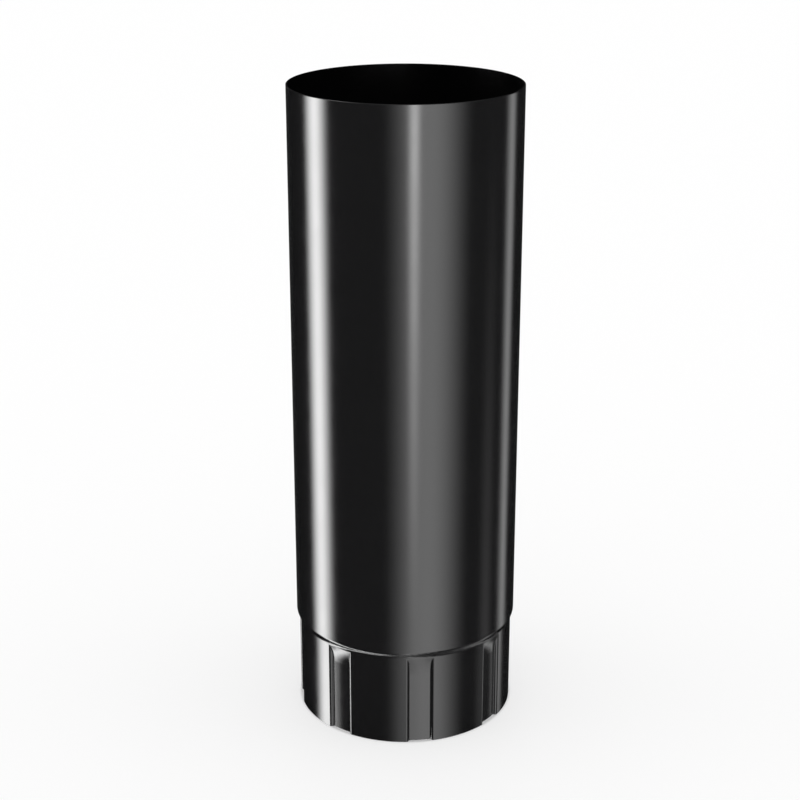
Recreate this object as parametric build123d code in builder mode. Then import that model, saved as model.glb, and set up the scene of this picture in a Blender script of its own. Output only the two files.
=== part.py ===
from build123d import *
import os
from math import acos, cos, degrees, hypot, radians, sin

# Steel rainwater downpipe, 87 mm: a short length of round pipe with a reduced and crimped
# lower end, which pushes down into the open top of the next pipe.
# Millimetres. The pipe stands on its reduced end: foot plane at z = 0, pipe axis along +Z,
# and the side seen first faces -Y.

# Tube, cut square at both ends, with the sharp corners taken off the rim
pipe_diameter = 87.0
sheet_thickness = 0.6
overall_length = 248.2
rim_chamfer = 0.12

# Reduced end, a push fit in the bore of a pipe of the same size
spigot_length = 36.45
socket_clearance = 0.52
shoulder_round = 1.95
shoulder_root = 2.05

# Channels pressed inwards around the reduced end, open at the foot. Each one leaves
# channel_gap of plain metal below the shoulder.
channel_count = 8
first_channel_angle = -81.95
channel_gap = 0.05
channel_depth = 1.35
mouth_angle = 12.6
wall_draft = 20
runout_radius = 19.5
lip_round = 1.1
corner_round = 0.4

# The reduced end takes its size from the bore that it pushes into
pipe_radius = pipe_diameter / 2
bore_radius = pipe_radius - sheet_thickness
spigot_radius = bore_radius - socket_clearance

# Shoulder: a bend rolled over from the body, then a root swept out onto the reduced end.
# The two touch where the surface leans by shoulder_lean.
bend_x = pipe_radius - shoulder_round
root_x = spigot_radius + shoulder_root
shoulder_lean = degrees(acos((root_x - bend_x) / (shoulder_round + shoulder_root)))
bend_z = spigot_length + (shoulder_round + shoulder_root) * sin(radians(shoulder_lean))

# Channel: side walls that lean away from each other by wall_draft, and a rolled lip where
# they reach the surface of the reduced end. The lip stands lip_land proud of that surface
# where the tool leaves it.
lip_land = 0.01
floor_radius = spigot_radius - channel_depth
wall_x = cos(radians(wall_draft))
wall_y = sin(radians(wall_draft))
mouth_x = spigot_radius * cos(radians(mouth_angle / 2))
mouth_y = spigot_radius * sin(radians(mouth_angle / 2))
lip_centre = spigot_radius - lip_round + lip_land
lip_offset = mouth_x * wall_y - mouth_y * wall_x - lip_round
lip_angle = degrees(acos(lip_offset / lip_centre)) - (90 - wall_draft)
lip_turn = lip_angle + 90 - wall_draft
lip_x = lip_centre * cos(radians(lip_angle))
lip_y = lip_centre * sin(radians(lip_angle))

# Run-out: the floor curves up, and rolls over a brow of the lip's radius at the top
channel_length = spigot_length - channel_gap
runout_reach = runout_radius + lip_round
runout_sweep = degrees(acos(1 - (channel_depth + lip_land) / runout_reach))
runout_x = floor_radius + runout_radius
runout_rise = runout_reach * sin(radians(runout_sweep))

# How far a channel's tool reaches past the metal that it presses
overrun = 2.0


def channel_tool(inset):
    """Space of one channel on the +X side, grown by inset into the metal around it.

    Its brow is at z = 0 and the channel runs down from there.
    """
    lip = lip_round - inset
    back_x = mouth_x - (channel_depth + overrun) * wall_x - inset * wall_y
    back_y = mouth_y - (channel_depth + overrun) * wall_y + inset * wall_x
    outer_x = lip_x + (lip + overrun) * cos(radians(lip_angle))
    outer_y = lip_y + (lip + overrun) * sin(radians(lip_angle))
    lower_end = -channel_length - 2 * overrun
    with BuildPart() as tool:
        # side walls and lips
        with BuildSketch(Plane.XY.offset(lower_end + overrun)):
            with BuildLine():
                left = CenterArc((lip_x, lip_y), lip, lip_angle - lip_turn, lip_turn)
                right = CenterArc((lip_x, -lip_y), lip, lip_turn - lip_angle, -lip_turn)
                Polyline(left @ 0, (back_x, back_y), (back_x, -back_y), right @ 0)
                Polyline(left @ 1, (outer_x, outer_y), (outer_x, -outer_y), right @ 1)
            make_face()
        extrude(amount=overrun + channel_length + overrun)

        # floor, run-out and brow, turned about the pipe's axis
        with BuildSketch(Plane.XZ.rotated((0, 0, -mouth_angle))):
            with BuildLine():
                floor_x = floor_radius - inset
                floor = Line((floor_x, lower_end), (floor_x, -runout_rise))
                CenterArc((runout_x, -runout_rise), runout_radius + inset, 180, -runout_sweep)
                brow = CenterArc((lip_centre, 0), lip, -runout_sweep, runout_sweep)
                clear_x = pipe_radius + 2 * overrun
                Polyline(brow @ 1, (clear_x, 0), (clear_x, lower_end), floor @ 0)
            make_face()
        revolve(axis=Axis.Z, revolution_arc=2 * mouth_angle, mode=Mode.INTERSECT)

        # the two long corners between floor and side walls
        upright = tool.edges().filter_by(lambda e: e.bounding_box().size.Z > overrun)
        corners = upright.filter_by(
            lambda e: hypot((e @ 0.5).X, (e @ 0.5).Y) < floor_radius + lip_land
        )
        fillet(corners, radius=corner_round + inset)
    return tool.part


def pipe_skin(inset):
    """Solid inside the pipe's outer surface, shrunk by inset into the metal."""
    tool = channel_tool(inset).moved(Location((0, 0, channel_length)))
    with BuildPart() as skin:
        with BuildSketch(Plane.XZ):
            with BuildLine():
                spigot = Line((spigot_radius - inset, 0), (spigot_radius - inset, spigot_length))
                CenterArc((root_x, spigot_length), shoulder_root + inset, 180, -shoulder_lean)
                CenterArc((bend_x, bend_z), shoulder_round - inset, -shoulder_lean, shoulder_lean)
                wall = Line((pipe_radius - inset, bend_z), (pipe_radius - inset, overall_length))
                Polyline(wall @ 1, (0, overall_length), (0, 0), spigot @ 0)
            make_face()
        revolve(axis=Axis.Z)
        with PolarLocations(0, channel_count, start_angle=first_channel_angle):
            add(tool, mode=Mode.SUBTRACT)
    return skin.part


# The sheet has one thickness all over, so the bore is the outer skin moved inwards
outside = pipe_skin(0)
inside = pipe_skin(sheet_thickness)

with BuildPart() as downpipe:
    add(outside)
    add(inside, mode=Mode.SUBTRACT)
    rim = downpipe.faces().sort_by(Axis.Z)[-1]
    chamfer(rim.edges(), length=rim_chamfer)

os.makedirs("parts", exist_ok=True)
downpipe.part.label = "downpipe"
export_step(downpipe.part, "parts/downpipe.step")
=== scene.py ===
import bpy
from math import cos, radians, sin, tau
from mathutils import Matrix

# Steel downpipe, 87 mm, in glossy black paint. Metres; +Z up, the seen side faces -Y.

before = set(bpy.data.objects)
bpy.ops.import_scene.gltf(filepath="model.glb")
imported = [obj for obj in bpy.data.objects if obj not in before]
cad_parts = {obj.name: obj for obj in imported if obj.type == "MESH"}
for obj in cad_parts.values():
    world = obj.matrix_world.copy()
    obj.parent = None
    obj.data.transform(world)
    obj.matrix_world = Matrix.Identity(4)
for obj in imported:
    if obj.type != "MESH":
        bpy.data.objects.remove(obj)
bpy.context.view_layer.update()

scene = bpy.context.scene
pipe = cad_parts["downpipe"]

WHITE = (1, 1, 1, 1)


# Node helpers

class Nodes:
    """Adds nodes to a tree; every input is a number, a colour or another node's output."""

    def __init__(self, tree):
        self.tree = tree
        tree.nodes.clear()

    def add(self, kind, inputs=None, **settings):
        node = self.tree.nodes.new(kind)
        for name, value in settings.items():
            setattr(node, name, value)
        for key, value in (inputs or {}).items():
            socket = node.inputs[key]
            if isinstance(value, bpy.types.NodeSocket):
                self.tree.links.new(value, socket)
            else:
                socket.default_value = value
        return node

    def math(self, operation, *values):
        node = self.add("ShaderNodeMath", dict(enumerate(values)), operation=operation)
        return node.outputs[0]

    def ramp(self, value, start, end, low=0.0, high=1.0):
        """Goes evenly from low at start to high at end, and stays there."""
        inputs = {0: value, 1: start, 2: end, 3: low, 4: high}
        return self.add("ShaderNodeMapRange", inputs).outputs[0]

    def fade(self, value, start, end, low=0.0, high=1.0):
        """Goes smoothly from low at start to high at end, and stays there."""
        inputs = {0: value, 1: start, 2: end, 3: low, 4: high}
        node = self.add("ShaderNodeMapRange", inputs, interpolation_type="SMOOTHSTEP")
        return node.outputs[0]

    def mix(self, share, first, second):
        """Goes from the first colour at a share of 0 to the second one at 1."""
        inputs = {0: share, 6: first, 7: second}
        return self.add("ShaderNodeMix", inputs, data_type="RGBA").outputs[2]

    def noise(self, place, scale, detail):
        inputs = {"Vector": place, "Scale": scale, "Detail": detail}
        return self.add("ShaderNodeTexNoise", inputs).outputs[0]

    def seen_directly(self):
        """1 for camera and transmission rays, 0 for gloss and for diffuse light."""
        path = self.add("ShaderNodeLightPath")
        rays = (path.outputs["Is Camera Ray"], path.outputs["Is Transmission Ray"])
        return self.math("MAXIMUM", *rays)


# Paint: two near blacks in soft clouds, and painted shade inside the pipe, a deeper black, which
# comes in where the surface turns from facing outwards, at 1, to facing the pipe's axis, at -1.

PAINT_DARK = (0.0110, 0.0110, 0.0114, 1)
PAINT_LIGHT = (0.0128, 0.0128, 0.0132, 1)
CLOUDS_PER_METRE = 45.0
CLOUD_DETAIL = 3.0
# Painted shade: a deeper black that stands in for the shade inside the pipe
INSIDE_PAINTED_SHADE = (0.0015, 0.0015, 0.0016, 1)
INSIDE_STARTS = -0.1
INSIDE_FULL = -0.4

# Gloss of the paint: a roughness that varies a little in smears, and a very fine orange peel
PAINT_SHINE = 1.0
PAINT_ROUGHNESS = 0.15
ROUGHNESS_SPREAD = 0.012
SMEARS_PER_METRE = 90.0
SMEAR_DETAIL = 4.0
SMEAR_LOW = 0.3
SMEAR_HIGH = 0.7
PEEL_SIZE = 0.0016
PEEL_HEIGHT = 0.0000015
PEEL_DETAIL = 1.0


def outward_share(n, coords):
    """1 where the surface faces away from the pipe's axis, -1 where it faces the axis."""
    place = n.add("ShaderNodeSeparateXYZ", {0: coords.outputs["Object"]}).outputs
    level = n.add("ShaderNodeCombineXYZ", {0: place[0], 1: place[1], 2: 0.0}).outputs[0]
    outward = n.add("ShaderNodeVectorMath", {0: level}, operation="NORMALIZE").outputs[0]
    inputs = {0: coords.outputs["Normal"], 1: outward}
    return n.add("ShaderNodeVectorMath", inputs, operation="DOT_PRODUCT").outputs["Value"]


def paint_material():
    material = bpy.data.materials.new("black gloss paint")
    material.use_nodes = True
    n = Nodes(material.node_tree)
    coords = n.add("ShaderNodeTexCoord")
    place = coords.outputs["Object"]

    tone = n.mix(n.noise(place, CLOUDS_PER_METRE, CLOUD_DETAIL), PAINT_DARK, PAINT_LIGHT)
    inside_shade_share = n.fade(outward_share(n, coords), INSIDE_STARTS, INSIDE_FULL)
    # Inside the pipe the colour darkens to painted shade
    colour = n.mix(inside_shade_share, tone, INSIDE_PAINTED_SHADE)

    smear = n.noise(place, SMEARS_PER_METRE, SMEAR_DETAIL)
    smoothest = PAINT_ROUGHNESS - ROUGHNESS_SPREAD
    roughest = PAINT_ROUGHNESS + ROUGHNESS_SPREAD
    roughness = n.fade(smear, SMEAR_LOW, SMEAR_HIGH, smoothest, roughest)

    peel = n.noise(place, 1 / PEEL_SIZE, PEEL_DETAIL)
    inputs = {"Strength": 1.0, "Distance": PEEL_HEIGHT, "Height": peel}
    bump = n.add("ShaderNodeBump", inputs).outputs[0]

    inputs = {
        "Base Color": colour,
        "Roughness": roughness,
        "Specular IOR Level": PAINT_SHINE,
        "Normal": bump,
    }
    shader = n.add("ShaderNodeBsdfPrincipled", inputs)
    n.add("ShaderNodeOutputMaterial", {0: shader.outputs[0]})
    return material


paint = paint_material()
for slot in pipe.material_slots:
    slot.material = paint


# Floor. Outside the pipe it looks partly plain white to the camera, which lightens the
# shadow. The white comes in between two distances from the pipe's axis.

FLOOR_SIZE = 60.0
FLOOR_COLOUR = (0.98, 0.98, 0.98, 1)
WHITE_SHARE = 0.6
WHITE_STARTS = 0.0420
WHITE_FULL = 0.0435

# The gloss shows the studio round the pipe and not the floor, apart from a patch of floor in
# the bore, which ends just inside the channels' ribs.
PATCH_RADIUS = 0.040
PATCH_LIFT = 0.00002
PATCH_SIDES = 48


def floor_material():
    material = bpy.data.materials.new("pale floor")
    material.use_nodes = True
    n = Nodes(material.node_tree)
    coords = n.add("ShaderNodeTexCoord")
    inputs = {0: coords.outputs["Object"]}
    distance = n.add("ShaderNodeVectorMath", inputs, operation="LENGTH").outputs["Value"]
    white_share = n.fade(distance, WHITE_STARTS, WHITE_FULL, 0.0, WHITE_SHARE)
    share = n.math("MULTIPLY", n.seen_directly(), white_share)

    pale = n.add("ShaderNodeBsdfDiffuse", {"Color": FLOOR_COLOUR}).outputs[0]
    white = n.add("ShaderNodeEmission", {"Color": WHITE, "Strength": 1.0}).outputs[0]
    both = n.add("ShaderNodeMixShader", {0: share, 1: pale, 2: white})
    n.add("ShaderNodeOutputMaterial", {0: both.outputs[0]})
    material.cycles.emission_sampling = "NONE"
    return material


def flat_piece(name, corners, material):
    mesh = bpy.data.meshes.new(name)
    mesh.from_pydata(corners, [], [range(len(corners))])
    mesh.materials.append(material)
    piece = bpy.data.objects.new(name, mesh)
    scene.collection.objects.link(piece)
    return piece


pale_floor = floor_material()
half = FLOOR_SIZE / 2
square = [(-half, -half, 0), (half, -half, 0), (half, half, 0), (-half, half, 0)]
floor = flat_piece("floor", square, pale_floor)
floor.visible_glossy = False

turns = [tau * i / PATCH_SIDES for i in range(PATCH_SIDES)]
ring = [(PATCH_RADIUS * cos(turn), PATCH_RADIUS * sin(turn), PATCH_LIFT) for turn in turns]
flat_piece("floor_in_the_bore", ring, pale_floor)


# Studio: the strip lights that the gloss shows, by azimuth from -Y towards +X, in degrees.
# Each has the azimuths where it starts and ends its rise and its fall, then its strength
# level with the pipe and its strength far down, and the elevation where its top ends.

LIGHTS = (
    ("tall window", (-115.6, -96.2, -96.2, -76.8), 8.8, 7.5, 70.0),
    ("broad front", (-23.0, 22.0, 24.0, 69.0), 1.56, 1.52, 30.0),
    ("right strip", (110.3, 122.6, 122.6, 135.2), 1.27, 1.13, 30.0),
    ("low reflector", (80.0, 93.0, 93.0, 106.0), 0.00, 0.26, 30.0),
    ("dim wall behind left", (-200.0, -190.0, -165.0, -138.0), 0.031, 0.031, 30.0),
    ("dim wall behind right", (140.0, 167.0, 190.0, 200.0), 0.020, 0.020, 30.0),
)

# Elevations, in degrees: above LEVEL a strip has its level strength and below FAR_DOWN its
# strength far down. From there to BELOW all of them sink to a share of it. Their tops start
# to fade at TOP_STARTS.
LEVEL = -11.0
FAR_DOWN = -28.5
BELOW = -60.0
BELOW_SHARE = 0.78
TOP_STARTS = 12.0

# A slim upright tube light, which grows weaker towards its foot
TUBE_EDGES = (0.4, 8.2, 8.2, 16.0)
TUBE_STRENGTH = 4.5
TUBE_FOOT = -29.0
TUBE_TOP = 30.0
TUBE_FALL_OFF = 1.5

# A dim ceiling, which comes in between two elevations
CEILING_STARTS = 40.0
CEILING_FULL = 56.0
CEILING_STRENGTH = 0.15


def studio_strength(n, azimuth, elevation):
    """Strength of the light that comes from one azimuth and elevation."""

    def across(rise, full, hold, fall):
        rising = n.fade(azimuth, rise, full)
        falling = n.fade(azimuth, hold, fall, 1.0, 0.0)
        return n.math("MULTIPLY", rising, falling)

    def up_to(top):
        return n.fade(elevation, TOP_STARTS, top, 1.0, 0.0)

    total = 0.0
    for _, edges, level, far_down, top in LIGHTS:
        strength = n.ramp(elevation, LEVEL, FAR_DOWN, level, far_down)
        lit = n.math("MULTIPLY", across(*edges), up_to(top))
        total = n.math("MULTIPLY_ADD", lit, strength, total)

    height = n.math("POWER", n.ramp(elevation, TUBE_FOOT, LEVEL), TUBE_FALL_OFF)
    tube = n.math("MULTIPLY", n.math("MULTIPLY", across(*TUBE_EDGES), up_to(TUBE_TOP)), height)
    total = n.math("MULTIPLY_ADD", tube, TUBE_STRENGTH, total)

    below = n.ramp(elevation, BELOW, FAR_DOWN, BELOW_SHARE, 1.0)
    ceiling = n.fade(elevation, CEILING_STARTS, CEILING_FULL, 0.0, CEILING_STRENGTH)
    return n.math("MULTIPLY_ADD", total, below, ceiling)


def studio_world():
    """A world that gloss sees as the studio, the camera as white, and diffuse light not at all."""
    world = bpy.data.worlds.new("studio")
    scene.world = world
    world.use_nodes = True
    n = Nodes(world.node_tree)
    coords = n.add("ShaderNodeTexCoord")
    x, y, z = n.add("ShaderNodeSeparateXYZ", {0: coords.outputs["Generated"]}).outputs
    azimuth = n.math("DEGREES", n.math("ARCTAN2", x, n.math("MULTIPLY", y, -1.0)))
    elevation = n.math("DEGREES", n.math("ARCSINE", z))

    strength = studio_strength(n, azimuth, elevation)
    studio = n.add("ShaderNodeBackground", {0: WHITE, 1: strength}).outputs[0]
    white = n.add("ShaderNodeBackground", {0: WHITE, 1: 1.0}).outputs[0]
    both = n.add("ShaderNodeMixShader", {0: n.seen_directly(), 1: studio, 2: white})
    n.add("ShaderNodeOutputWorld", {0: both.outputs[0]})
    world.cycles_visibility.diffuse = False


studio_world()


# Lamps: soft light at a plain level, from above and all round, which the gloss doesn't show.
# Each has its azimuth and elevation, its strength and how wide it spreads, angles in degrees.

LAMPS = (
    ("top", 0.0, 90.0, 1.5, 150.0),
    ("front left", -50.0, 40.0, 0.65, 90.0),
    ("front right", 50.0, 40.0, 0.65, 90.0),
    ("back left", -130.0, 40.0, 0.65, 90.0),
    ("back right", 130.0, 40.0, 0.65, 90.0),
)


def lamp(name, azimuth, elevation, strength, spread):
    data = bpy.data.lights.new(name, "SUN")
    data.energy = strength
    data.angle = radians(spread)
    light = bpy.data.objects.new(name, data)
    light.rotation_euler = (radians(90 - elevation), 0, radians(azimuth))
    light.visible_glossy = False
    scene.collection.objects.link(light)


for settings in LAMPS:
    lamp(*settings)


# Camera: in front of the pipe, above its top and looking down

CAMERA_PLACE = (0.0, -0.62737, 0.35557)
CAMERA_PITCH = 20.106
CAMERA_TURN = 0.1864
CAMERA_LENS = 77.838
SENSOR_WIDTH = 36.0
NEAR_LIMIT = 0.01

camera_data = bpy.data.cameras.new("camera")
camera_data.sensor_width = SENSOR_WIDTH
camera_data.lens = CAMERA_LENS
camera_data.clip_start = NEAR_LIMIT
camera = bpy.data.objects.new("camera", camera_data)
camera.location = CAMERA_PLACE
camera.rotation_euler = (radians(90 - CAMERA_PITCH), 0, radians(CAMERA_TURN))
scene.collection.objects.link(camera)
scene.camera = camera

scene.view_settings.view_transform = "Standard"
